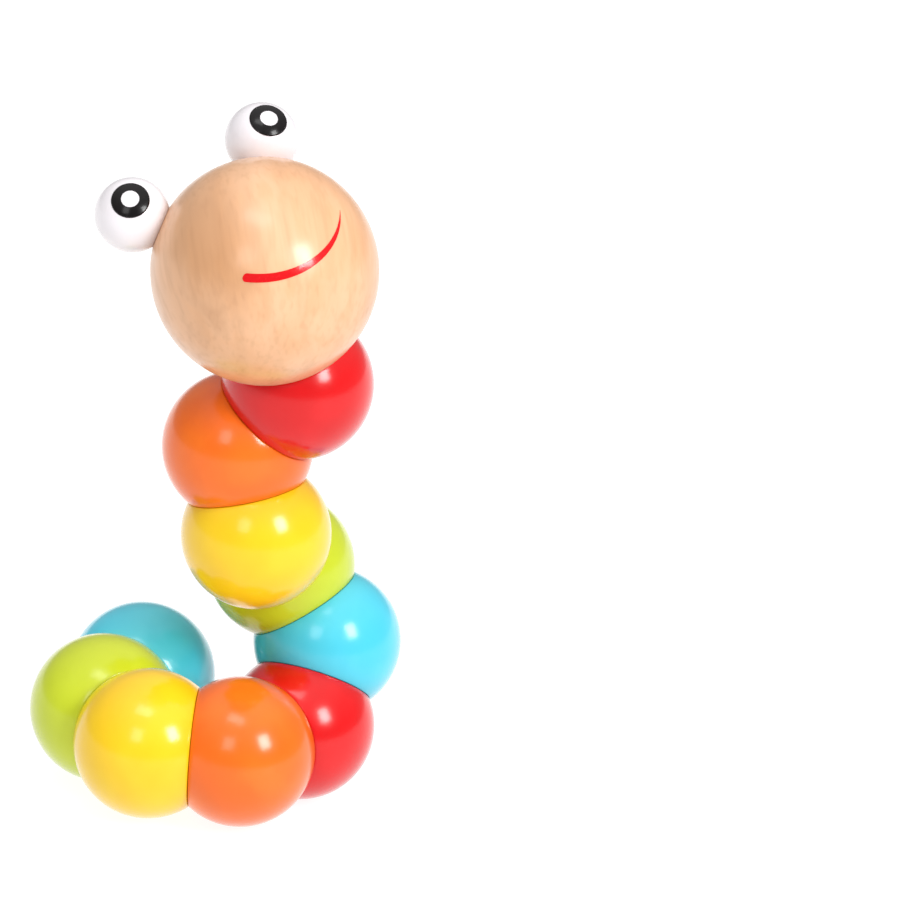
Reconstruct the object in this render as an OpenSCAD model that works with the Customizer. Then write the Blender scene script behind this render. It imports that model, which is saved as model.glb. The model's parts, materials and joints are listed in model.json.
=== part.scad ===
// Twisty snake puzzle: ten lacquered wooden beads and a beech head, each
// cut with flat faces and joined face to face by snap swivels, so that
// every joint turns on the axis of its own pair of faces.
// The origin is below the middle of the toy, on the table, with +Z up.

/* [Beads] */
// Diameter of a bead
bead_d = 34; // [33.5:0.5:41]
// Diameter of the flat face where a bead meets its neighbour
face_d = 27; // [22:0.5:28]
// Angle that the chain bends through in each bead
bead_bend = 54; // [45:1:58]
// Gap between two facing flats
face_gap = 0.1; // [0.05:0.05:0.3]

/* [Head] */
// Diameter of the head
head_d = 50; // [42:0.5:60]
// Angle from straight below the head back to the neck
neck_tilt = 50; // [0:1:70]
// Diameter of an eye
eye_d = 16.5; // [14:0.5:20]
// Diameter of the flat seat under an eye
eye_seat_d = 9.4; // [8:0.2:11]
// Angle from the crown of the head out to an eye
eye_spread = 34; // [25:1:42]

/* [Printed face] */
// Thickness of the printed ink
ink_t = 0.08; // [0.05:0.01:0.2]
// Outer diameter of the black ring on an eye
pupil_d = 8.4; // [6:0.1:10]
// Diameter of the white dot in the ring
pupil_dot_d = 4; // [2:0.1:5]
// Angle that a pupil looks up from straight ahead
pupil_rise = 9; // [-20:1:30]
// Angle that a pupil looks out from straight ahead
pupil_splay = 8; // [-10:1:30]
// Radius of the smile's curve
smile_r = 17.8; // [14:0.1:22]
// Widest stroke of the smile
smile_w = 1.7; // [0.8:0.1:3]
// Height of the centre of the smile's curve above the middle of the face
smile_rise = 8.6; // [5:0.1:12]
// Direction of the blunt end of the smile, from the centre of its curve
smile_start = -134; // [-150:1:-120]
// Direction of the pointed end of the smile, from the centre of its curve
smile_end = -35; // [-60:1:-30]

/* [Snap swivels] */
// Outer diameter of a swivel socket
socket_d = 9; // [8:0.1:10]
// Length of a swivel socket
socket_l = 6.8; // [6.4:0.1:7]
// Thickness of the lip that holds the pin in
socket_lip = 2; // [1.5:0.1:2.5]
// Diameter of the shank that is pressed into a bead
shank_d = 5; // [4:0.1:6]
// Length of the shank
shank_l = 6.8; // [5:0.1:7]
// Diameter of the pin where it turns in the lip
neck_d = 4; // [3:0.1:4.4]
// Diameter of the snap head
snap_d = 5.6; // [5:0.1:6]
// Length of the snap head
snap_l = 3.2; // [2.6:0.1:3.6]
// Width of the slot that lets the snap head spring
slot_w = 0.8; // [0.4:0.1:1]
// Radial running clearance of the pin in its socket
running_clear = 0.05; // [0.02:0.01:0.09]
// Axial play of the snap head behind the lip
end_play = 0.05; // [0.02:0.01:0.1]
// Empty depth that is left at the bottom of a drilled hole
drill_spare = 0.2; // [0.1:0.1:0.3]

/* [Eye dowels] */
// Diameter of the dowel that holds an eye
dowel_d = 4; // [3:0.1:5]
// Depth of the dowel in the head
dowel_in_head = 6.5; // [5:0.1:9]
// Depth of the dowel in the eye
dowel_in_eye = 5.5; // [4:0.1:6]

/* [Rest pose] */
// Direction of the tail's first step on the table
tail_heading = -109; // [-180:1:180]
// Turn of bead 7 on bead 8
turn_7 = 0; // [-180:1:180]
// Turn of bead 6 on bead 7, which lifts the neck off the table
turn_6 = 77; // [-180:1:180]
// Turn of bead 5 on bead 6
turn_5 = -24; // [-180:1:180]
// Turn of bead 4 on bead 5
turn_4 = 62; // [-180:1:180]
// Turn of bead 3 on bead 4
turn_3 = 156; // [-180:1:180]
// Turn of bead 2 on bead 3
turn_2 = -95; // [-180:1:180]
// Turn of bead 1 on bead 2
turn_1 = -150; // [-180:1:180]
// Turn of the head on bead 1
turn_head = -153; // [-180:1:180]

/* [Hidden] */
$fn = 96;

BEADS = [for (k = [1:10]) k];
TAIL = max(BEADS);
RIGHT = -1;
LEFT = 1;

BEECH = [0.86, 0.68, 0.46];
NYLON = [0.93, 0.92, 0.88];
BEAD_COLOURS = [
    [0.80, 0.05, 0.09],  // red
    [0.93, 0.38, 0.07],  // orange
    [0.99, 0.80, 0.04],  // yellow
    [0.63, 0.80, 0.13],  // green
    [0.16, 0.70, 0.84]   // blue
];

bead_r = bead_d / 2;
head_r = head_d / 2;
eye_r = eye_d / 2;
face_r = face_d / 2;
seat_r = eye_seat_d / 2;

// Distance from a ball's centre to a flat of a given radius
function flat_distance(ball_r, flat_r) = sqrt(ball_r ^ 2 - flat_r ^ 2);

bead_face = flat_distance(bead_r, face_r);
head_face = flat_distance(head_r, face_r);
head_seat = flat_distance(head_r, seat_r);
eye_face = flat_distance(eye_r, seat_r);
bead_pitch = 2 * bead_face + face_gap;
neck_pitch = bead_face + face_gap + head_face;
eye_pitch = head_seat + eye_face;

// Joint turns by bead number: index 0 is the head on bead 1
turns = [turn_head, turn_1, turn_2, turn_3, turn_4, turn_5, turn_6, turn_7, 0, 0];

// Rigid moves as matrices
function slide(v) = [[1, 0, 0, v.x], [0, 1, 0, v.y], [0, 0, 1, v.z], [0, 0, 0, 1]];
function about_x(a) = [[1, 0, 0, 0], [0, cos(a), -sin(a), 0], [0, sin(a), cos(a), 0], [0, 0, 0, 1]];
function about_y(a) = [[cos(a), 0, sin(a), 0], [0, 1, 0, 0], [-sin(a), 0, cos(a), 0], [0, 0, 0, 1]];
function about_z(a) = [[cos(a), -sin(a), 0, 0], [sin(a), cos(a), 0, 0], [0, 0, 1, 0], [0, 0, 0, 1]];
function place_of(m) = [m[0][3], m[1][3], m[2][3]];

// A bead's frame: its centre, with +Z up the chain along the axis of its
// tail-side face, and its head-side face turned about +Y by the bend
lying_down = [[0, 0, 1, 0], [1, 0, 0, 0], [0, 1, 0, 0], [0, 0, 0, 1]];
function bead_frame(k) =
    k == TAIL ? about_z(tail_heading) * lying_down
    : head_side(k + 1) * slide([0, 0, bead_pitch]) * about_z(turns[k]);
function head_side(k) = bead_frame(k) * about_y(k == TAIL ? 0 : bead_bend);

// The neck's frame: the head's centre, with +Z along the neck's axis
neck_frame = head_side(1) * slide([0, 0, neck_pitch]) * about_z(turns[0]);
// The head's frame: its face looks along -Y, with the crown up
head_frame = neck_frame * about_x(-neck_tilt);
function eye_frame(side) = head_frame * about_y(side * eye_spread) * slide([0, 0, eye_pitch]);

// The box round all the balls, which sets the origin
balls = concat(
    [for (k = BEADS) [place_of(bead_frame(k)), bead_r]],
    [[place_of(head_frame), head_r]],
    [for (side = [RIGHT, LEFT]) [place_of(eye_frame(side)), eye_r]]
);
box_low = [for (i = [0:2]) min([for (b = balls) b[0][i] - b[1]])];
box_high = [for (i = [0:2]) max([for (b = balls) b[0][i] + b[1]])];
box_foot = [(box_low.x + box_high.x) / 2, (box_low.y + box_high.y) / 2, box_low.z];

// Stands its children on the table, in one of the frames above
module at(frame) {
    translate(-box_foot) multmatrix(frame) children();
}

// Cuts everything beyond a flat at a given distance up Z
module beyond(distance, ball_r) {
    translate([0, 0, distance]) cylinder(r = ball_r, h = ball_r);
}

// A hole drilled down Z into a flat at a given distance
module drilled(distance, d, depth) {
    mouth = face_gap;
    translate([0, 0, distance - depth]) cylinder(d = d, h = depth + mouth);
}

module socket_hole(distance) {
    mirror([0, 0, 1]) drilled(distance, socket_d, socket_l + drill_spare);
}

module bead(k) {
    colour = BEAD_COLOURS[(k - 1) % len(BEAD_COLOURS)];
    color(colour) at(bead_frame(k)) difference() {
        sphere(d = bead_d);
        rotate([0, k == TAIL ? 0 : bead_bend, 0]) {
            beyond(bead_face, bead_r);
            drilled(bead_face, shank_d, shank_l + drill_spare);
        }
        if (k != TAIL) {
            mirror([0, 0, 1]) beyond(bead_face, bead_r);
            socket_hole(bead_face);
        }
    }
}

module head() {
    color(BEECH) at(head_frame) difference() {
        sphere(d = head_d);
        rotate([neck_tilt, 0, 0]) {
            mirror([0, 0, 1]) beyond(head_face, head_r);
            socket_hole(head_face);
        }
        for (side = [RIGHT, LEFT]) rotate([0, side * eye_spread, 0]) {
            beyond(head_seat, head_r);
            drilled(head_seat, dowel_d, dowel_in_head + drill_spare);
        }
    }
}

module eye(side) {
    color("white") at(eye_frame(side)) difference() {
        sphere(d = eye_d);
        mirror([0, 0, 1]) {
            beyond(eye_face, eye_r);
            drilled(eye_face, dowel_d, dowel_in_eye + drill_spare);
        }
    }
}

module eye_dowel(side) {
    color(BEECH) at(eye_frame(side))
        translate([0, 0, -eye_face - dowel_in_head])
            cylinder(d = dowel_d, h = dowel_in_head + dowel_in_eye);
}

// A skin of ink on a ball, where the child shape passes through it
module ink_on(ball_r) {
    intersection() {
        difference() {
            sphere(r = ball_r + ink_t);
            sphere(r = ball_r);
        }
        children();
    }
}

// Turns +Z to a pupil's direction: ahead is -Y in the head's frame
module pupil(side) {
    ahead = 90 - pupil_rise;
    color("black") at(eye_frame(side))
        rotate([0, -side * eye_spread, 0]) rotate([0, 0, side * pupil_splay]) rotate([ahead, 0, 0])
            ink_on(eye_r) difference() {
                cylinder(d = pupil_d, h = eye_d);
                cylinder(d = pupil_dot_d, h = eye_d);
            }
}

// The stroke of the smile as seen from ahead: a curve with one round end,
// which thins to a point at the other
module smile_stroke() {
    steps = 24;
    end_steps = 12;
    taper = 2.5;
    function width(t) = smile_w * (1 - t ^ taper);
    function direction(t) = smile_start + t * (smile_end - smile_start);
    function edge(t, side) = (smile_r + side * width(t) / 2) * [cos(direction(t)), sin(direction(t))];
    function round_end(angle) = edge(0, 0) + smile_w / 2 * [cos(angle), sin(angle)];
    translate([0, smile_rise]) polygon(concat(
        [for (i = [0:steps]) edge(i / steps, 1)],
        [for (i = [steps - 1:-1:0]) edge(i / steps, -1)],
        [for (i = [1:end_steps - 1]) round_end(smile_start - 180 + i * 180 / end_steps)]
    ));
}

module smile() {
    color("crimson") at(head_frame) ink_on(head_r)
        rotate([90, 0, 0]) linear_extrude(height = head_d) smile_stroke();
}

// The pin is pressed into the head-side face of bead k, and snaps into the
// socket that faces it
module swivel_pin(k) {
    lip_end = face_gap + socket_lip + end_play;
    lead_in = 0.6;
    tip_r = neck_d / 2;
    tip = lip_end + snap_l;
    color(NYLON) at(head_side(k)) translate([0, 0, bead_face]) difference() {
        rotate_extrude() polygon([
            [0, -shank_l],
            [shank_d / 2 - lead_in, -shank_l],
            [shank_d / 2, -shank_l + lead_in],
            [shank_d / 2, 0],
            [neck_d / 2, 0],
            [neck_d / 2, lip_end],
            [snap_d / 2, lip_end],
            [snap_d / 2, lip_end + lead_in],
            [tip_r - slot_w / 2, tip],
            [0, tip]
        ]);
        translate([-snap_d, -slot_w / 2, face_gap + socket_lip / 2]) cube([2 * snap_d, slot_w, tip]);
    }
}

// The socket of joint k is pressed into the bead above bead k, or the head
module swivel_socket(k) {
    lip_r = neck_d / 2 + running_clear;
    cavity_r = snap_d / 2 + running_clear;
    frame = k == 1 ? neck_frame : bead_frame(k - 1);
    face = k == 1 ? head_face : bead_face;
    color(NYLON) at(frame) translate([0, 0, -face]) rotate_extrude() polygon([
        [lip_r, 0],
        [socket_d / 2, 0],
        [socket_d / 2, socket_l],
        [cavity_r, socket_l],
        [cavity_r, socket_lip],
        [lip_r, socket_lip]
    ]);
}

head();
smile();
eye(RIGHT);  // right_eye
eye(LEFT);  // left_eye
pupil(RIGHT);  // right_pupil
pupil(LEFT);  // left_pupil
eye_dowel(RIGHT);  // right_eye_dowel
eye_dowel(LEFT);  // left_eye_dowel
for (k = BEADS) {
    bead(k);
    swivel_pin(k);
    swivel_socket(k);
}
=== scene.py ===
"""Looks of the twisty snake puzzle: lacquered beads, a varnished beech head and a soft studio.

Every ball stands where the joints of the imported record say, and the head is turned as
its eyes' CAD boxes say. Lengths are in metres, and MM turns millimetres into them.
"""

import json
import logging
import math
from dataclasses import dataclass, field, replace
from enum import Enum
from typing import Union

import bmesh
import bpy
from mathutils import Matrix, Vector

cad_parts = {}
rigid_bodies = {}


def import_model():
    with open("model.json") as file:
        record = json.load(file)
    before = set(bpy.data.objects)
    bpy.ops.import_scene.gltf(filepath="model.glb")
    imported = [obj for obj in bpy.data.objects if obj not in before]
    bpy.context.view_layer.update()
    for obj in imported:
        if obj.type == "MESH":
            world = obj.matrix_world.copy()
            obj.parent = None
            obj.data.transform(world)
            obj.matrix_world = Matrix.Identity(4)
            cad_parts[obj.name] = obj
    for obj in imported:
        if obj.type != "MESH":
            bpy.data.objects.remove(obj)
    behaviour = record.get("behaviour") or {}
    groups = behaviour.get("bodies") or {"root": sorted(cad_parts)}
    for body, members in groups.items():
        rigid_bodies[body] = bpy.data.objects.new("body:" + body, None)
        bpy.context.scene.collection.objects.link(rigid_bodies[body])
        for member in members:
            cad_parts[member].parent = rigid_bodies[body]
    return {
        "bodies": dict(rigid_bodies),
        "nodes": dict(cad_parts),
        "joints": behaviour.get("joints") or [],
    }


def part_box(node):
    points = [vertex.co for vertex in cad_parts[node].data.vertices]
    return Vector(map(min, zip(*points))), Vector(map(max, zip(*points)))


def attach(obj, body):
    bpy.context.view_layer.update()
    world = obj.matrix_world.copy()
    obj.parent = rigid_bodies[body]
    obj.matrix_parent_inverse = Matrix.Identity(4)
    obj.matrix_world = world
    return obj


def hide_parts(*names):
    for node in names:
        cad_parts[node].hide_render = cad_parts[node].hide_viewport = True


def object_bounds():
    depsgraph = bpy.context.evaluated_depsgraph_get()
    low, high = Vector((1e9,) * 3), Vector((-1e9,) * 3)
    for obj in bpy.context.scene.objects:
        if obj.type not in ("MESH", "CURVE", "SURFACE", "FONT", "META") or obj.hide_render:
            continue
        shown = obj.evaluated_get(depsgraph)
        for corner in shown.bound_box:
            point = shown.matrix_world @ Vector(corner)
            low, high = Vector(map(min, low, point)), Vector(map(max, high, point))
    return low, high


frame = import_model()
CAD_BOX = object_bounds()

MM = 0.001
WELD = 0.0005 * MM
FULL_TURN = 2 * math.pi

log = logging.getLogger("snake")

Colour = tuple[float, float, float, float]
Triple = tuple[float, float, float]
Span = tuple[float, float]
Input = Union[float, tuple, bpy.types.NodeSocket]


def chip(red: int, green: int, blue: int) -> Colour:
    """Turns a paint chip's 0 to 255 values into the linear colour that a shader takes.

    Args:
        red: The chip's red.
        green: The chip's green.
        blue: The chip's blue.

    Returns:
        The colour as red, green, blue and a full alpha.
    """
    def linear(value: int) -> float:
        """One channel, by the sRGB curve."""
        share = value / 255
        return share / 12.92 if share <= 0.04045 else ((share + 0.055) / 1.055) ** 2.4

    return (linear(red), linear(green), linear(blue), 1.0)


def axes(centre: Vector, along_x: Vector, along_z: Vector) -> Matrix:
    """Builds a frame that stands at a centre.

    Args:
        centre: Where the frame's origin is.
        along_x: Direction of its X axis.
        along_z: Direction of its Z axis, square to along_x.

    Returns:
        The 4x4 matrix from that frame to the row frame.
    """
    x, z = along_x.normalized(), along_z.normalized()
    turn = Matrix((x, z.cross(x), z)).transposed()
    return Matrix.Translation(centre) @ turn.to_4x4()


def stand_on(centre: Vector, along_z: Vector) -> Matrix:
    """Builds a frame at a centre with a given Z axis, however its X axis falls."""
    return axes(centre, along_z.orthogonal(), along_z)


# ------------------------------------------------------------------ materials


# The range that most of a noise's values lie in
MOST_NOISE: Span = (0.3, 0.7)


@dataclass(frozen=True)
class Layer:
    """One layer of noise in a finish.

    Its lumps are counted in a metre, and are longer where drawn is under 1. It starts to
    show at the first value of shows, and has its whole share in the tone at the second.
    """

    scale: float
    drawn: Triple = (1.0, 1.0, 1.0)
    detail: float = 2.0
    distortion: float = 0.0
    shows: Span = MOST_NOISE
    share: float = 1.0


@dataclass(frozen=True)
class Shine:
    """How a surface takes the light: its own gloss, from smooth to rough, and a clear coat."""

    roughness: Span
    ior: float
    specular: float = 0.5
    coat: float = 0.0
    coat_roughness: float = 0.03
    coat_ior: float = 1.5


class Graph:
    """One material's node tree, written as expressions of sockets."""

    def __init__(self, name: str) -> None:
        """Starts an empty material.

        Args:
            name: The material's name.
        """
        self.material = bpy.data.materials.new(name)
        self.material.use_nodes = True
        self.tree = self.material.node_tree
        self.tree.nodes.clear()
        coordinates = self.add("ShaderNodeTexCoord", {})
        self.place = coordinates.outputs["Object"]

    def add(self, kind: str, inputs: dict[Union[str, int], Input], **settings: object) -> bpy.types.Node:
        """Adds a node.

        Args:
            kind: The node's type.
            inputs: A value or a socket for each input, by name or number.
            settings: The node's own properties.

        Returns:
            The node.
        """
        node = self.tree.nodes.new(kind)
        for name, value in settings.items():
            setattr(node, name, value)
        for key, value in inputs.items():
            if isinstance(value, bpy.types.NodeSocket):
                self.tree.links.new(value, node.inputs[key])
            else:
                node.inputs[key].default_value = value
        return node

    def seen_from(self, stand: Matrix) -> bpy.types.NodeSocket:
        """The place on the piece as coordinates in another frame."""
        inputs = {"Vector": self.place, "Location": stand.to_translation(), "Rotation": stand.to_euler()}
        return self.add("ShaderNodeMapping", inputs, vector_type="TEXTURE").outputs["Vector"]

    def stretched(self, place: Input, drawn: Triple) -> bpy.types.NodeSocket:
        """A place with each coordinate multiplied, so that a pattern is drawn out."""
        node = self.add("ShaderNodeVectorMath", {0: place, 1: drawn}, operation="MULTIPLY")
        return node.outputs["Vector"]

    def moved(self, place: Input, step: Triple) -> bpy.types.NodeSocket:
        """A place with a step added to it."""
        node = self.add("ShaderNodeVectorMath", {0: place, 1: step}, operation="ADD")
        return node.outputs["Vector"]

    def noise(self, place: Input, layer: Layer) -> bpy.types.NodeSocket:
        """Soft noise between 0 and 1.

        Args:
            place: The coordinates that it is read at.
            layer: Its lumps, and how they are drawn out.

        Returns:
            The noise's value.
        """
        inputs = {"Vector": self.stretched(place, layer.drawn), "Scale": layer.scale}
        inputs |= {"Detail": layer.detail, "Distortion": layer.distortion}
        return self.add("ShaderNodeTexNoise", inputs).outputs[0]

    def level(self, value: Input, taken: Span, given: Span) -> bpy.types.NodeSocket:
        """Maps one range of a value softly onto another, held at both ends.

        Args:
            value: The value.
            taken: The range that is mapped.
            given: What its two ends become.

        Returns:
            The mapped value.
        """
        inputs = {"Value": value, "From Min": taken[0], "From Max": taken[1]}
        inputs |= {"To Min": given[0], "To Max": given[1]}
        return self.add("ShaderNodeMapRange", inputs, interpolation_type="SMOOTHSTEP").outputs["Result"]

    def shown(self, noise: Input, layer: Layer) -> bpy.types.NodeSocket:
        """How much of its tone a layer lays on, from its noise."""
        return self.level(noise, layer.shows, (0.0, layer.share))

    def plus(self, first: Input, second: Input, share: float) -> bpy.types.NodeSocket:
        """The first value plus a share of the second."""
        inputs = {0: second, 1: share, 2: first}
        return self.add("ShaderNodeMath", inputs, operation="MULTIPLY_ADD").outputs[0]

    def times(self, first: Input, second: Input) -> bpy.types.NodeSocket:
        """The product of two values."""
        return self.add("ShaderNodeMath", {0: first, 1: second}, operation="MULTIPLY").outputs[0]

    def blend(self, share: Input, first: Input, second: Input) -> bpy.types.NodeSocket:
        """Goes from the first colour to the second as the share goes from 0 to 1."""
        inputs = {0: share, 6: first, 7: second}
        return self.add("ShaderNodeMix", inputs, data_type="RGBA").outputs[2]

    def bump(self, height: Input, rise: float) -> bpy.types.NodeSocket:
        """The surface's normal with a relief of that height in metres."""
        return self.add("ShaderNodeBump", {"Height": height, "Distance": rise}).outputs["Normal"]

    def finish(
        self, colour: Input, shine: Shine, wear: Input, relief: Input, rise: float
    ) -> bpy.types.Material:
        """Ends the tree in a surface with a colour, a gloss and a relief.

        Args:
            colour: The surface's colour.
            shine: How it takes the light.
            wear: The noise that its roughness follows.
            relief: The noise that its relief follows.
            rise: The relief's height in metres.

        Returns:
            The finished material.
        """
        return self.end(
            Base_Color=colour,
            Roughness=self.level(wear, MOST_NOISE, shine.roughness),
            IOR=shine.ior,
            Specular_IOR_Level=shine.specular,
            Coat_Weight=shine.coat,
            Coat_Roughness=shine.coat_roughness,
            Coat_IOR=shine.coat_ior,
            Normal=self.bump(relief, rise),
        )

    def end(self, **inputs: Input) -> bpy.types.Material:
        """Ends the tree in one surface shader.

        Args:
            inputs: The shader's inputs, with _ for a space in their names.

        Returns:
            The finished material.
        """
        named = {name.replace("_", " "): value for name, value in inputs.items()}
        shader = self.add("ShaderNodeBsdfPrincipled", named)
        self.add("ShaderNodeOutputMaterial", {"Surface": shader.outputs["BSDF"]})
        return self.material


@dataclass(frozen=True)
class Lacquer:
    """Gloss lacquer sprayed on a sanded wooden ball, a little thicker in places."""

    name: str
    colour: Colour
    thick: Colour
    shine: Shine = Shine(
        (0.16, 0.24), ior=1.45, specular=0.25, coat=0.8, coat_roughness=0.18, coat_ior=1.36
    )
    clouds: Layer = Layer(70.0, shows=(0.35, 0.65), share=0.8)
    fibres: Layer = Layer(900.0, drawn=(1, 1, 0.06), share=0.2)
    peel: Layer = Layer(1100.0, detail=1.0)
    fibre_relief: float = 0.6
    rise: float = 0.012 * MM

    def material(self) -> bpy.types.Material:
        """Builds the lacquer: clouded colour, drowned wood fibres and orange peel.

        Returns:
            The finished material.
        """
        graph = Graph(self.name)
        clouds, fibres, peel = (
            graph.noise(graph.place, layer) for layer in (self.clouds, self.fibres, self.peel)
        )
        tone = graph.plus(graph.shown(clouds, self.clouds), fibres, self.fibres.share)
        relief = graph.plus(peel, fibres, self.fibre_relief)
        return graph.finish(
            graph.blend(tone, self.colour, self.thick), self.shine, clouds, relief, self.rise
        )


@dataclass(frozen=True)
class Heart:
    """A soft darker patch in the grain's own frame, partly darker core wood and partly painted shade on
    the head's side away from the key light.

    Its tone holds out to the first value of fade from its middle, and is gone at the
    second. The mottle makes its edge wander by as much as the second.
    """

    middle: Triple = (-15 * MM, 0.0, 1 * MM)
    drawn: Triple = (1, 0, 0.5)
    fade: Span = (2 * MM, 13 * MM)
    share: float = 0.45


@dataclass(frozen=True)
class Rings:
    """Faint growth rings round a pith outside the ball, in the grain's own frame."""

    pith: Triple = (-58 * MM, 0, 0)
    drawn: Triple = (1, 1, 0.1)
    scale: float = 130.0
    distortion: float = 3.0
    detail: float = 2.0
    detail_scale: float = 0.5
    shows: Span = (0.6, 1.0)
    share: float = 0.14


@dataclass(frozen=True)
class Beech:
    """Varnished beech: soft mottle, one darker patch that is partly core wood and partly painted shade,
    streaks and faint rings.

    In the grain's own frame Z runs along the fibres, and X across the growth layers.
    """

    name: str
    stand: Matrix = field(default_factory=Matrix)
    shine: Shine = Shine(
        (0.3, 0.38), ior=1.45, specular=0.4, coat=0.6, coat_roughness=0.21, coat_ior=1.4
    )
    pale: Colour = chip(229, 180, 140)
    tan: Colour = chip(215, 158, 111)
    brown: Colour = chip(162, 110, 66)
    clouds: Layer = Layer(60.0, drawn=(1, 0.8, 0.35), detail=1.0, shows=(0.35, 0.7), share=0.6)
    mottle: Layer = Layer(230.0, drawn=(1, 0.8, 0.3), distortion=0.4, shows=(0.42, 0.72), share=0.4)
    streaks: Layer = Layer(900.0, drawn=(1, 0.6, 0.07), detail=1.0, shows=(0.45, 0.8), share=0.16)
    flecks: Layer = Layer(1900.0, drawn=(1, 0.45, 0.16), detail=0.0, shows=(0.7, 0.8), share=0.02)
    # Darker patch: partly core wood, partly painted shade on the side away from the key light
    heart: Heart = Heart()
    rings: Rings = Rings()
    streak_relief: float = 0.5
    rise: float = 0.006 * MM

    def material(self) -> bpy.types.Material:
        """Builds the wood, from its broadest tones to its finest.

        Returns:
            The finished material.
        """
        graph = Graph(self.name)
        grain = graph.seen_from(self.stand)
        clouds, mottle, streaks, flecks = (
            graph.noise(grain, layer) for layer in (self.clouds, self.mottle, self.streaks, self.flecks)
        )
        body = graph.blend(graph.shown(clouds, self.clouds), self.pale, self.tan)
        layers = (
            (graph.shown(mottle, self.mottle), self.tan),
            # The darker patch, partly core wood and partly painted shade
            (self.core_wood_and_shade_share(graph, grain, mottle), self.brown),
            (self.growth(graph, grain, mottle), self.brown),
            (graph.shown(streaks, self.streaks), self.brown),
            (graph.shown(flecks, self.flecks), self.brown),
        )
        for share, tone in layers:
            body = graph.blend(share, body, tone)
        relief = graph.plus(flecks, streaks, self.streak_relief)
        return graph.finish(body, self.shine, streaks, relief, self.rise)

    def core_wood_and_shade_share(self, graph: Graph, grain: Input, mottle: Input) -> bpy.types.NodeSocket:
        """Finds how much of the darker patch's tone a place takes; the patch is partly darker core wood
        and partly painted shade.

        Args:
            graph: The wood's node tree.
            grain: The place in the grain's frame.
            mottle: The noise that the patch's edge wanders with.

        Returns:
            The share, which falls to 0 away from the patch.
        """
        near, far = self.heart.fade
        off = graph.moved(grain, tuple(-place for place in self.heart.middle))
        drawn_out = graph.stretched(off, self.heart.drawn)
        reach = graph.add("ShaderNodeVectorMath", {0: drawn_out}, operation="LENGTH")
        wandering = graph.plus(reach.outputs["Value"], mottle, far)
        return graph.level(wandering, (near + far / 2, far + far / 2), (self.heart.share, 0.0))

    def growth(self, graph: Graph, grain: Input, mottle: Input) -> bpy.types.NodeSocket:
        """Finds how much of the rings' tone a place takes.

        Args:
            graph: The wood's node tree.
            grain: The place in the grain's frame.
            mottle: The noise that makes the rings stronger.

        Returns:
            The share, which is 0 between the rings.
        """
        rings = self.rings
        off = graph.moved(grain, tuple(-place for place in rings.pith))
        inputs = {
            "Vector": graph.stretched(off, rings.drawn),
            "Scale": rings.scale / math.pi,
            "Distortion": rings.distortion,
            "Detail": rings.detail,
            "Detail Scale": rings.detail_scale,
        }
        settings = {"wave_type": "RINGS", "rings_direction": "Z", "wave_profile": "SIN"}
        wave = graph.add("ShaderNodeTexWave", inputs, **settings).outputs["Fac"]
        return graph.times(graph.level(wave, rings.shows, (0.0, rings.share)), mottle)


@dataclass(frozen=True)
class Ink:
    """Pad-printed ink, with the faint mottle of the pad."""

    name: str
    colour: Colour
    thin: Colour
    shine: Shine = Shine(
        (0.2, 0.28), ior=1.5, specular=0.15, coat=0.25, coat_roughness=0.12, coat_ior=1.4
    )
    mottle: Layer = Layer(900.0, detail=3.0, shows=(0.35, 0.8))
    rise: float = 0.004 * MM

    def material(self) -> bpy.types.Material:
        """Builds the ink: two close tones and a low relief from one mottle.

        Returns:
            The finished material.
        """
        graph = Graph(self.name)
        mottle = graph.noise(graph.place, self.mottle)
        body = graph.blend(graph.shown(mottle, self.mottle), self.colour, self.thin)
        return graph.finish(body, self.shine, mottle, mottle, self.rise)


@dataclass(frozen=True)
class Nylon:
    """Natural moulded nylon, faintly milky, with a fine tool texture."""

    name: str
    milky: Colour = chip(236, 233, 222)
    deep: Colour = chip(214, 208, 192)
    shine: Shine = Shine((0.38, 0.52), ior=1.53)
    clouds: Layer = Layer(420.0)
    texture: Layer = Layer(6000.0, detail=1.0)
    rise: float = 0.01 * MM

    def material(self) -> bpy.types.Material:
        """Builds the nylon: clouded cream with a fine relief.

        Returns:
            The finished material.
        """
        graph = Graph(self.name)
        clouds, texture = (graph.noise(graph.place, layer) for layer in (self.clouds, self.texture))
        body = graph.blend(clouds, self.milky, self.deep)
        return graph.finish(body, self.shine, texture, texture, self.rise)


class BeadColour(Enum):
    """The lacquers of the beads, in their order from the head."""

    RED = (chip(218, 18, 22), chip(206, 10, 14))
    ORANGE = (chip(240, 114, 26), chip(232, 102, 18))
    YELLOW = (chip(241, 201, 30), chip(236, 192, 20))
    GREEN = (chip(194, 208, 44), chip(186, 200, 34))
    BLUE = (chip(82, 201, 224), chip(70, 193, 218))

    @property
    def word(self) -> str:
        """The colour's name as pieces and slots use it."""
        return self.name.lower()

    @property
    def lacquer(self) -> Lacquer:
        """The finish in this colour."""
        colour, thick = self.value
        return Lacquer(f"gloss_{self.word}_lacquer", colour, thick)


WHITE_LACQUER = Lacquer(
    "gloss_white_lacquer", chip(234, 229, 232), chip(229, 224, 228),
    shine=replace(Lacquer.shine, roughness=(0.18, 0.26)),
)
BLACK_INK = Ink("printed_black_ink", chip(14, 11, 12), chip(20, 16, 17))
RED_INK = Ink(
    "printed_red_ink", chip(206, 8, 16), chip(212, 12, 20), shine=replace(Ink.shine, coat=0.8)
)
BARE_BEECH = Beech("bare_beech", shine=replace(Beech.shine, roughness=(0.55, 0.7), coat=0.0))


# --------------------------------------------------------------------- pieces


# A bend between two faces that is drawn as an edge, and the cosine of the angle within
# which a face looks a given way
SHARP_EDGE = math.radians(40)
SAME_WAY = 0.9999

# The flats in the chain, the dowels of the eyes and the printed ink
FLAT_D = 27 * MM
DOWEL_D = 4 * MM
INK_T = 0.08 * MM


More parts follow.
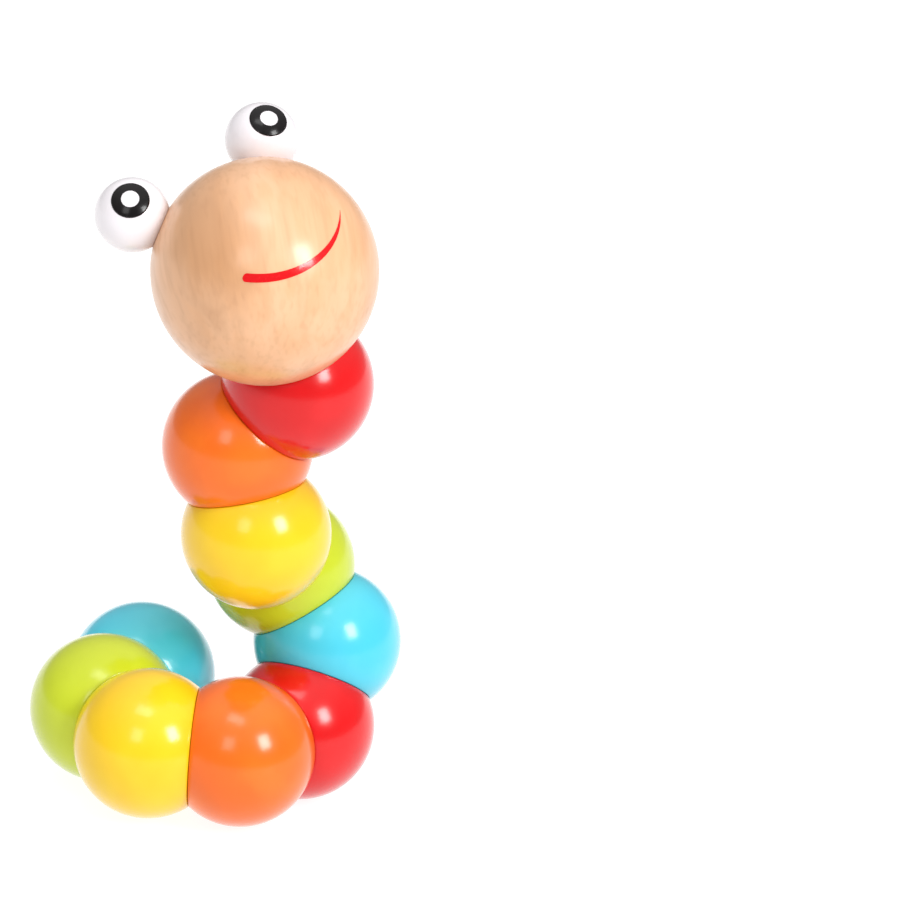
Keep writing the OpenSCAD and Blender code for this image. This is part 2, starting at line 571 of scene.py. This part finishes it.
@dataclass(frozen=True)
class Home:
    """Where a finished piece belongs: its body, its slot and the CAD nodes it stands for."""

    body: str
    slot: str
    nodes: tuple[str, ...]


def flat_distance(radius: float, flat_d: float) -> float:
    """Distance from a ball's centre to a flat of a given diameter."""
    return math.sqrt(radius**2 - (flat_d / 2) ** 2)


def finish_piece(
    bm: bmesh.types.BMesh, name: str, material: bpy.types.Material, home: Home
) -> bpy.types.Object:
    """Makes a piece of a mesh that already stands in the row frame.

    Args:
        bm: The mesh, which is freed.
        name: The piece's name.
        material: Its finish.
        home: What it rides on and what it replaces.

    Returns:
        The piece.
    """
    bmesh.ops.recalc_face_normals(bm, faces=bm.faces)
    for face in bm.faces:
        face.smooth = True
    for edge in bm.edges:
        edge.smooth = edge.calc_face_angle(0.0) < SHARP_EDGE
    mesh = bpy.data.meshes.new(name)
    bm.to_mesh(mesh)
    bm.free()
    mesh.materials.append(material)
    piece = bpy.data.objects.new(name, mesh)
    bpy.context.scene.collection.objects.link(piece)
    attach(piece, home.body)
    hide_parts(*home.nodes)
    log.info("%s: %d faces on %s", name, len(mesh.polygons), home.body)
    return piece


@dataclass(frozen=True)
class Bore:
    """A round hole drilled square into a flat."""

    diameter: float
    depth: float

    def drill(self, bm: bmesh.types.BMesh, outward: Vector) -> None:
        """Drills the middle of the widest face that looks outward.

        Args:
            bm: The ball's mesh.
            outward: The flat's direction, in the mesh's own frame.
        """
        facing = [face for face in bm.faces if face.normal.dot(outward) > SAME_WAY]
        flat = max(facing, key=lambda face: face.calc_area())
        middle = flat.calc_center_median()
        reach = sum((vert.co - middle).length for vert in flat.verts) / len(flat.verts)
        bmesh.ops.inset_individual(
            bm, faces=[flat], thickness=reach - self.diameter / 2, use_even_offset=True
        )
        floor = bmesh.ops.extrude_discrete_faces(bm, faces=[flat])["faces"][0]
        bmesh.ops.translate(bm, verts=floor.verts, vec=-self.depth * outward)


@dataclass(frozen=True)
class Ball:
    """The blank of a turned ball with flats whose rims are eased by sanding."""

    diameter: float
    flat_d: float
    rim_ease: float = 0.22 * MM
    rim_steps: int = 4
    around: int = 96

    @property
    def radius(self) -> float:
        """Half the diameter."""
        return self.diameter / 2

    @property
    def flat_at(self) -> float:
        """Distance from the ball's centre to a flat."""
        return flat_distance(self.radius, self.flat_d)

    def turned(self) -> bmesh.types.BMesh:
        """Turns the ball on a lathe and faces it once.

        Returns:
            The mesh, centred on the origin, with its flat facing +Z.
        """
        bm = bmesh.new()
        corner = bm.verts.new((self.flat_d / 2, 0, self.flat_at))
        sweep = math.pi - math.asin(self.flat_d / self.diameter)
        rings = round(self.around * sweep / FULL_TURN)
        centre = Vector()
        bmesh.ops.spin(bm, geom=[corner], cent=centre, axis=(0, 1, 0), angle=sweep, steps=rings)
        bmesh.ops.spin(
            bm, geom=bm.verts[:] + bm.edges[:], cent=centre, axis=(0, 0, 1),
            angle=FULL_TURN, steps=self.around, use_merge=True,
        )
        bmesh.ops.remove_doubles(bm, verts=bm.verts, dist=WELD)
        self.face_off(bm, [edge for edge in bm.edges if edge.is_boundary])
        return bm

    def face_off(self, bm: bmesh.types.BMesh, rim: list[bmesh.types.BMEdge]) -> None:
        """Closes an open rim with a flat, and eases the rim.

        Args:
            bm: The ball's mesh.
            rim: The edges of its opening.
        """
        bmesh.ops.contextual_create(bm, geom=rim)
        bmesh.ops.recalc_face_normals(bm, faces=bm.faces)
        bmesh.ops.bevel(
            bm, geom=rim, offset=self.rim_ease, offset_type="OFFSET", segments=self.rim_steps,
            profile=0.5, affect="EDGES", material=-1,
        )
        bm.normal_update()


@dataclass(frozen=True)
class Meeting:
    """One flat of a ball, where a joint of the record joins it to a neighbour."""

    point: Vector
    outward: Vector
    neighbour: int


@dataclass(frozen=True)
class Chain:
    """The chain's own measures, and where its balls meet."""

    face_gap: float = 0.1 * MM
    pin_bore: Bore = Bore(5 * MM, 7 * MM)
    socket_bore: Bore = Bore(9 * MM, 7 * MM)

    @staticmethod
    def number(body: str) -> int:
        """A ball's number along the chain: 0 is the head, and 1 the first bead."""
        return 0 if body == "head" else int(body.rsplit("_", 1)[1])

    def meetings(self, body: str) -> list[Meeting]:
        """Finds the flats of a ball, the one nearer the head first.

        Args:
            body: The ball's body.

        Returns:
            A meeting for each joint that the ball is in.
        """
        found = []
        for joint in frame["joints"]:
            ends = (joint["parent"], joint["child"])
            if body in ends:
                side = 1 if body == ends[0] else -1
                other = ends[1] if body == ends[0] else ends[0]
                outward = side * Vector(joint["axis"]).normalized()
                found.append(Meeting(Vector(joint["pos_m"]), outward, self.number(other)))
        return sorted(found, key=lambda meeting: meeting.neighbour)

    def centre(self, meeting: Meeting, ball: Ball) -> Vector:
        """A ball's centre, from one of its flats."""
        return meeting.point - (self.face_gap / 2 + ball.flat_at) * meeting.outward

    def bore(self, body: str, meeting: Meeting) -> Bore:
        """The hole in a flat: pins point to the head, and sockets to the tail."""
        return self.pin_bore if meeting.neighbour < self.number(body) else self.socket_bore


@dataclass(frozen=True)
class Bead:
    """One lacquered bead of the chain."""

    number: int
    colour: BeadColour
    chain: Chain
    diameter: float = 34 * MM

    @property
    def body(self) -> str:
        """The body that the bead rides on, which its CAD node is named after too."""
        return f"bead_{self.number}"

    def build(self, lacquer: bpy.types.Material) -> bpy.types.Object:
        """Turns, drills and lacquers the bead.

        Args:
            lacquer: The finish in the bead's colour.

        Returns:
            The piece.
        """
        meetings = self.chain.meetings(self.body)
        ball = Ball(self.diameter, FLAT_D)
        centre = self.chain.centre(meetings[0], ball)
        bm = ball.turned()
        if len(meetings) == 1:
            stand = stand_on(centre, meetings[0].outward)
        else:
            first, second = (meeting.outward for meeting in meetings)
            self.double(bm, first.angle(second))
            stand = axes(centre, first - second, first + second)
        bmesh.ops.transform(bm, matrix=stand, verts=bm.verts)
        bm.normal_update()
        for meeting in meetings:
            self.chain.bore(self.body, meeting).drill(bm, meeting.outward)
        home = Home(self.body, f"{self.colour.word}_lacquer", (self.body,))
        return finish_piece(bm, f"{self.colour.word}_bead_{self.number}", lacquer, home)

    @staticmethod
    def double(bm: bmesh.types.BMesh, spread: float) -> None:
        """Gives a ball a second flat, as far round from the first as spread says.

        Args:
            bm: The ball, with its flat facing +Z. It ends with X from the second flat's
                side to the first's, and Z midway between the two.
            spread: The angle between the two flats' directions.
        """
        lean = Matrix.Rotation(spread / 2, 4, "Y")
        bmesh.ops.transform(bm, matrix=lean, verts=bm.verts)
        whole = bm.verts[:] + bm.edges[:] + bm.faces[:]
        bmesh.ops.bisect_plane(
            bm, geom=whole, dist=WELD, plane_co=(0, 0, 0), plane_no=(1, 0, 0), clear_inner=True
        )
        half = bm.verts[:] + bm.edges[:] + bm.faces[:]
        bmesh.ops.mirror(bm, geom=half, matrix=Matrix.Identity(4), merge_dist=2 * WELD, axis="X")
        bmesh.ops.recalc_face_normals(bm, faces=bm.faces)


class Side(Enum):
    """The toy's own right and left."""

    RIGHT = -1
    LEFT = 1

    @property
    def word(self) -> str:
        """The side as node names use it."""
        return self.name.lower()


@dataclass(frozen=True)
class Eye:
    """A white ball eye on its flat seat, with a printed pupil."""

    side: Side
    centre: Vector
    seat_direction: Vector
    look: Vector
    ball: Ball
    dowel_bore: Bore = Bore(DOWEL_D, 5.7 * MM)
    pupil_d: float = 8.4 * MM
    dot_d: float = 4 * MM
    pupil_rings: int = 8

    def build(self, white: bpy.types.Material, black: bpy.types.Material) -> None:
        """Builds the eye's ball and its pupil.

        Args:
            white: The ball's lacquer.
            black: The pupil's ink.
        """
        bm = self.ball.turned()
        bmesh.ops.transform(bm, matrix=stand_on(self.centre, self.seat_direction), verts=bm.verts)
        bm.normal_update()
        self.dowel_bore.drill(bm, self.seat_direction)
        home = Home("head", "white_lacquer", (f"{self.side.word}_eye",))
        finish_piece(bm, f"{self.side.word}_eyeball", white, home)
        self.build_pupil(black)

    def build_pupil(self, black: bpy.types.Material) -> None:
        """Prints the black ring, a skin of ink round a dot that stays white.

        Args:
            black: The ink.
        """
        outside = self.ball.radius + INK_T
        inner, outer = (math.asin(width / 2 / outside) for width in (self.dot_d, self.pupil_d))
        bm = bmesh.new()
        corner = bm.verts.new((outside * math.sin(inner), 0, outside * math.cos(inner)))
        bmesh.ops.spin(
            bm, geom=[corner], cent=Vector(), axis=(0, 1, 0),
            angle=outer - inner, steps=self.pupil_rings,
        )
        bmesh.ops.spin(
            bm, geom=bm.verts[:] + bm.edges[:], cent=Vector(), axis=(0, 0, 1),
            angle=FULL_TURN, steps=self.ball.around, use_merge=True,
        )
        bmesh.ops.remove_doubles(bm, verts=bm.verts, dist=WELD)
        thicken(bm, INK_T)
        bmesh.ops.transform(bm, matrix=stand_on(self.centre, self.look), verts=bm.verts)
        home = Home("head", "black_ink", (f"{self.side.word}_pupil",))
        finish_piece(bm, f"{self.side.word}_pupil_ring", black, home)


def thicken(bm: bmesh.types.BMesh, ink: float) -> None:
    """Gives a skin on a ball round the origin a body that reaches in to the ball.

    Args:
        bm: The skin's outer face.
        ink: How far in it reaches.
    """
    bmesh.ops.recalc_face_normals(bm, faces=bm.faces)
    if sum(face.normal.dot(face.calc_center_median()) for face in bm.faces) < 0:
        bmesh.ops.reverse_faces(bm, faces=bm.faces)
    outer = bm.faces[:]
    copied = bmesh.ops.duplicate(bm, geom=bm.verts[:] + bm.edges[:] + outer)["geom"]
    inner = [part for part in copied if isinstance(part, bmesh.types.BMVert)]
    for vert in inner:
        vert.co -= ink * vert.co.normalized()
    rims = [edge for edge in bm.edges if edge.is_boundary]
    bmesh.ops.bridge_loops(bm, edges=rims)


@dataclass(frozen=True)
class Smile:
    """The printed smile, a stroke with one round end that thins to a point at the other."""

    radius: float = 17.8 * MM
    width: float = 1.7 * MM
    rise: float = 8.6 * MM
    start: float = math.radians(-134)
    end: float = math.radians(-35)
    taper: float = 2.5
    steps: int = 72
    across: int = 6

    def build(self, stand: Matrix, head_r: float, red: bpy.types.Material) -> None:
        """Prints the stroke on the head.

        Args:
            stand: The head's frame, in which the face looks along -Y.
            head_r: The head's radius.
            red: The ink.
        """
        bm = bmesh.new()
        bmesh.ops.create_grid(bm, x_segments=self.steps, y_segments=self.across, size=1)
        for vert in bm.verts:
            vert.co = self.on_face((vert.co.x + 1) / 2, vert.co.y, head_r + INK_T)
        bmesh.ops.remove_doubles(bm, verts=bm.verts, dist=WELD)
        bmesh.ops.dissolve_degenerate(bm, edges=bm.edges, dist=WELD)
        thicken(bm, INK_T)
        bmesh.ops.transform(bm, matrix=stand, verts=bm.verts)
        finish_piece(bm, "smile_stroke", red, Home("head", "red_ink", ("smile",)))

    def on_face(self, along: float, across: float, reach: float) -> Vector:
        """Puts a point of the stroke on the ball, with the closest steps at the round end.

        Args:
            along: 0 at the round end and 1 at the pointed end.
            across: -1 on the inner edge of the stroke and 1 on the outer.
            reach: The distance from the head's centre.

        Returns:
            The point in the head's frame.
        """
        cap = self.width / 2
        cap_turn = cap / self.radius
        direction = self.start - cap_turn + (self.end - self.start + cap_turn) * along**2
        share = max(0.0, (direction - self.start) / (self.end - self.start))
        past_cap = max(0.0, self.start - direction) * self.radius
        half = cap * (1 - share**self.taper) if share else math.sqrt(max(0.0, cap**2 - past_cap**2))
        out = self.radius + across * half
        x, z = out * math.cos(direction), self.rise + out * math.sin(direction)
        return Vector((x, -math.sqrt(reach**2 - x * x - z * z), z))


@dataclass(frozen=True)
class Head:
    """The beech head with its eyes and its printed face."""

    chain: Chain
    ball: Ball = Ball(50 * MM, FLAT_D, around=144)
    eye_ball: Ball = Ball(16.5 * MM, 9.4 * MM, rim_ease=0.15 * MM, around=80)
    dowel_bore: Bore = Bore(DOWEL_D, 6.7 * MM)
    pupil_rise: float = math.radians(9)
    pupil_splay: float = math.radians(8)
    grain_lean: float = math.radians(27)

    def build(self) -> None:
        """Builds the head, its smile and both eyes."""
        neck = self.chain.meetings("head")[0]
        centre = self.chain.centre(neck, self.ball)
        towards = {side: self.eye_centre(side, centre) - centre for side in Side}
        right, left = towards[Side.RIGHT], towards[Side.LEFT]
        stand = axes(centre, left - right, left + right)
        self.build_ball(neck, centre, stand, [offset.normalized() for offset in towards.values()])
        Smile().build(stand, self.ball.radius, RED_INK.material())
        white, black = WHITE_LACQUER.material(), BLACK_INK.material()
        for side, offset in towards.items():
            look = self.look(stand, side)
            Eye(side, centre + offset, -offset.normalized(), look, self.eye_ball).build(white, black)

    def build_ball(self, neck: Meeting, centre: Vector, stand: Matrix, seats: list[Vector]) -> None:
        """Turns the head, faces it for the neck and mills the eyes' seats.

        Args:
            neck: Where the head meets the first bead.
            centre: The head's centre.
            stand: The head's frame.
            seats: The directions of the eyes' seats.
        """
        bm = self.ball.turned()
        bmesh.ops.transform(bm, matrix=stand_on(centre, neck.outward), verts=bm.verts)
        bm.normal_update()
        self.chain.bore("head", neck).drill(bm, neck.outward)
        for seat in seats:
            self.mill_seat(bm, centre, seat)
        grain = stand @ Matrix.Rotation(self.grain_lean, 4, "Y")
        wood = Beech("varnished_beech", grain).material()
        finish_piece(bm, "beech_head", wood, Home("head", "natural_beech", ("head",)))

    def mill_seat(self, bm: bmesh.types.BMesh, centre: Vector, seat: Vector) -> None:
        """Mills the flat that an eye sits on, and drills it for the dowel.

        Args:
            bm: The head's mesh, in the row frame.
            centre: The head's centre.
            seat: The direction of the seat.
        """
        seat_at = flat_distance(self.ball.radius, self.eye_ball.flat_d)
        cut = bmesh.ops.bisect_plane(
            bm, geom=bm.verts[:] + bm.edges[:] + bm.faces[:], dist=WELD,
            plane_co=centre + seat_at * seat, plane_no=seat, clear_outer=True,
        )["geom_cut"]
        rim = [part for part in cut if isinstance(part, bmesh.types.BMEdge)]
        bmesh.ops.contextual_create(bm, geom=rim)
        bmesh.ops.recalc_face_normals(bm, faces=bm.faces)
        bm.normal_update()
        self.dowel_bore.drill(bm, seat)

    def eye_centre(self, side: Side, head: Vector) -> Vector:
        """Finds an eye's centre, from the sides of its box that its seat doesn't cut.

        Args:
            side: Which eye.
            head: The head's centre.

        Returns:
            The centre.
        """
        low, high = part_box(f"{side.word}_eye")
        reach = self.eye_ball.radius
        outer = [high[i] - reach if high[i] + low[i] > 2 * head[i] else low[i] + reach for i in range(3)]
        return Vector(outer)

    def look(self, stand: Matrix, side: Side) -> Vector:
        """Finds the direction that a pupil looks in.

        Args:
            stand: The head's frame.
            side: Which eye.

        Returns:
            The direction in the row frame.
        """
        out = Matrix.Rotation(side.value * self.pupil_splay, 3, "Z")
        up = Matrix.Rotation(-self.pupil_rise, 3, "X")
        return stand.to_3x3() @ (out @ (up @ Vector((0, -1, 0))))


class Hardware:
    """The dowels, pins and sockets inside the toy, which stay as the CAD made them."""

    def dress(self) -> None:
        """Gives each kept node its finish."""
        nylon = Nylon("natural_nylon").material()
        wood = BARE_BEECH.material()
        for name, node in frame["nodes"].items():
            if name.startswith("swivel"):
                self.repaint(node, nylon)
            elif name.endswith("dowel"):
                self.repaint(node, wood)

    @staticmethod
    def repaint(node: bpy.types.Object, material: bpy.types.Material) -> None:
        """Puts one material in every slot of a node.

        Args:
            node: The node's object.
            material: The material.
        """
        if not node.data.materials:
            node.data.materials.append(material)
        for number in range(len(node.data.materials)):
            node.data.materials[number] = material
        log.info("%s: dressed in %s", node.name, material.name)


# --------------------------------------------------------------------- studio


def heading(azimuth: float, elevation: float) -> Vector:
    """The direction from the toy to a place, with azimuth 0 in front and 90 to the right."""
    a, e = math.radians(azimuth), math.radians(elevation)
    return Vector((math.sin(a) * math.cos(e), -math.cos(a) * math.cos(e), math.sin(e)))


@dataclass(frozen=True)
class Softbox:
    """A soft rectangular light that faces the middle of the toy.

    Its angles are in degrees, its lengths in metres and its power in watts.
    """

    name: str
    azimuth: float
    elevation: float
    distance: float
    width: float
    height: float
    power: float

    def build(self, target: Vector) -> None:
        """Hangs the light.

        Args:
            target: What it faces.
        """
        data = bpy.data.lights.new(self.name, "AREA")
        data.shape = "RECTANGLE"
        data.size, data.size_y = self.width, self.height
        data.energy = self.power
        light = bpy.data.objects.new(self.name, data)
        direction = heading(self.azimuth, self.elevation)
        light.location = target + self.distance * direction
        light.rotation_euler = direction.to_track_quat("Z", "Y").to_euler()
        bpy.context.scene.collection.objects.link(light)


@dataclass(frozen=True)
class Studio:
    """A white table under soft light, seen through a long lens.

    The table's own grey is dark, and its glow makes it white, so that shadows stay faint.
    Each of the room's shades goes with a height, from 0 at the horizon to 1 overhead.
    """

    table_size: float = 8.0
    table_grey: Colour = (0.22, 0.22, 0.22, 1.0)
    table_roughness: float = 0.6
    table_glow: float = 0.9
    room_strength: float = 1.1
    room_shades: tuple[Span, ...] = ((0.0, 0.35), (0.25, 0.3), (0.55, 0.52), (1.0, 1.2))
    lens_mm: float = 180.0
    aim_off_middle: Triple = (49.7 * MM, -22.8 * MM, 15.5 * MM)
    camera_distance: float = 0.982
    camera_azimuth: float = 0.42
    camera_elevation: float = 21.6
    camera_roll: float = 4.6
    softboxes: tuple[Softbox, ...] = (
        Softbox("key", azimuth=48, elevation=32.5, distance=1.5, width=0.4, height=0.52, power=14.5),
        Softbox("fill", azimuth=-18.5, elevation=32.5, distance=1.5, width=0.44, height=0.5, power=2.8),
        Softbox("overhead", azimuth=-25, elevation=72, distance=1.4, width=0.6, height=0.34, power=3.0),
    )

    def build(self) -> None:
        """Sets up the table, the room, the lights and the camera, and keeps white white."""
        middle = (CAD_BOX[0] + CAD_BOX[1]) / 2
        self.build_table()
        self.build_room()
        for softbox in self.softboxes:
            softbox.build(middle)
        self.build_camera(middle + Vector(self.aim_off_middle))
        bpy.context.scene.view_settings.view_transform = "Standard"

    def build_table(self) -> None:
        """Lays the table's top at the foot of the toy."""
        bm = bmesh.new()
        bmesh.ops.create_grid(bm, x_segments=1, y_segments=1, size=self.table_size / 2)
        bmesh.ops.translate(bm, verts=bm.verts, vec=(0, 0, CAD_BOX[0].z))
        mesh = bpy.data.meshes.new("table_top")
        bm.to_mesh(mesh)
        bm.free()
        mesh.materials.append(self.table_material())
        table = bpy.data.objects.new("table_top", mesh)
        bpy.context.scene.collection.objects.link(table)

    def table_material(self) -> bpy.types.Material:
        """Makes the table's card.

        Returns:
            The material.
        """
        return Graph("white_card").end(
            Base_Color=self.table_grey,
            Roughness=self.table_roughness,
            Emission_Color=(1.0, 1.0, 1.0, 1.0),
            Emission_Strength=self.table_glow,
        )

    def build_room(self) -> None:
        """Lights the room: dim round the horizon, brighter with height and white overhead."""
        world = bpy.data.worlds.new("room")
        bpy.context.scene.world = world
        world.use_nodes = True
        nodes, links = world.node_tree.nodes, world.node_tree.links
        nodes.clear()
        direction = nodes.new("ShaderNodeTexCoord")
        parts = nodes.new("ShaderNodeSeparateXYZ")
        shades = nodes.new("ShaderNodeValToRGB")
        stops = shades.color_ramp.elements
        for height, _ in self.room_shades[1:-1]:
            stops.new(height)
        for stop, (_, shade) in zip(stops, self.room_shades, strict=True):
            stop.color = (shade, shade, shade, 1.0)
        background = nodes.new("ShaderNodeBackground")
        output = nodes.new("ShaderNodeOutputWorld")
        links.new(direction.outputs["Generated"], parts.inputs[0])
        links.new(parts.outputs["Z"], shades.inputs["Fac"])
        links.new(shades.outputs["Color"], background.inputs["Color"])
        links.new(background.outputs["Background"], output.inputs["Surface"])
        background.inputs["Strength"].default_value = self.room_strength

    def build_camera(self, aim: Vector) -> None:
        """Stands the camera at its angle, leaning a little.

        Args:
            aim: What it looks at.
        """
        data = bpy.data.cameras.new("camera")
        data.lens = self.lens_mm
        camera = bpy.data.objects.new("camera", data)
        azimuth, elevation = self.camera_azimuth, self.camera_elevation
        turn = (
            Matrix.Rotation(math.radians(azimuth), 4, "Z")
            @ Matrix.Rotation(math.pi / 2 - math.radians(elevation), 4, "X")
            @ Matrix.Rotation(math.radians(self.camera_roll), 4, "Z")
        )
        place = aim + self.camera_distance * heading(azimuth, elevation)
        camera.matrix_world = Matrix.Translation(place) @ turn
        bpy.context.scene.collection.objects.link(camera)
        bpy.context.scene.camera = camera


def main() -> None:
    """Builds the toy from the head to the tail, then the studio round it."""
    logging.basicConfig(level=logging.INFO, format="%(name)s: %(message)s")
    chain = Chain()
    Head(chain).build()
    lacquers = {colour: colour.lacquer.material() for colour in BeadColour}
    colours = list(BeadColour)
    for number in range(1, len(frame["bodies"])):
        colour = colours[(number - 1) % len(colours)]
        Bead(number, colour, chain).build(lacquers[colour])
    Hardware().dress()
    Studio().build()


if __name__ == "__main__":
    main()
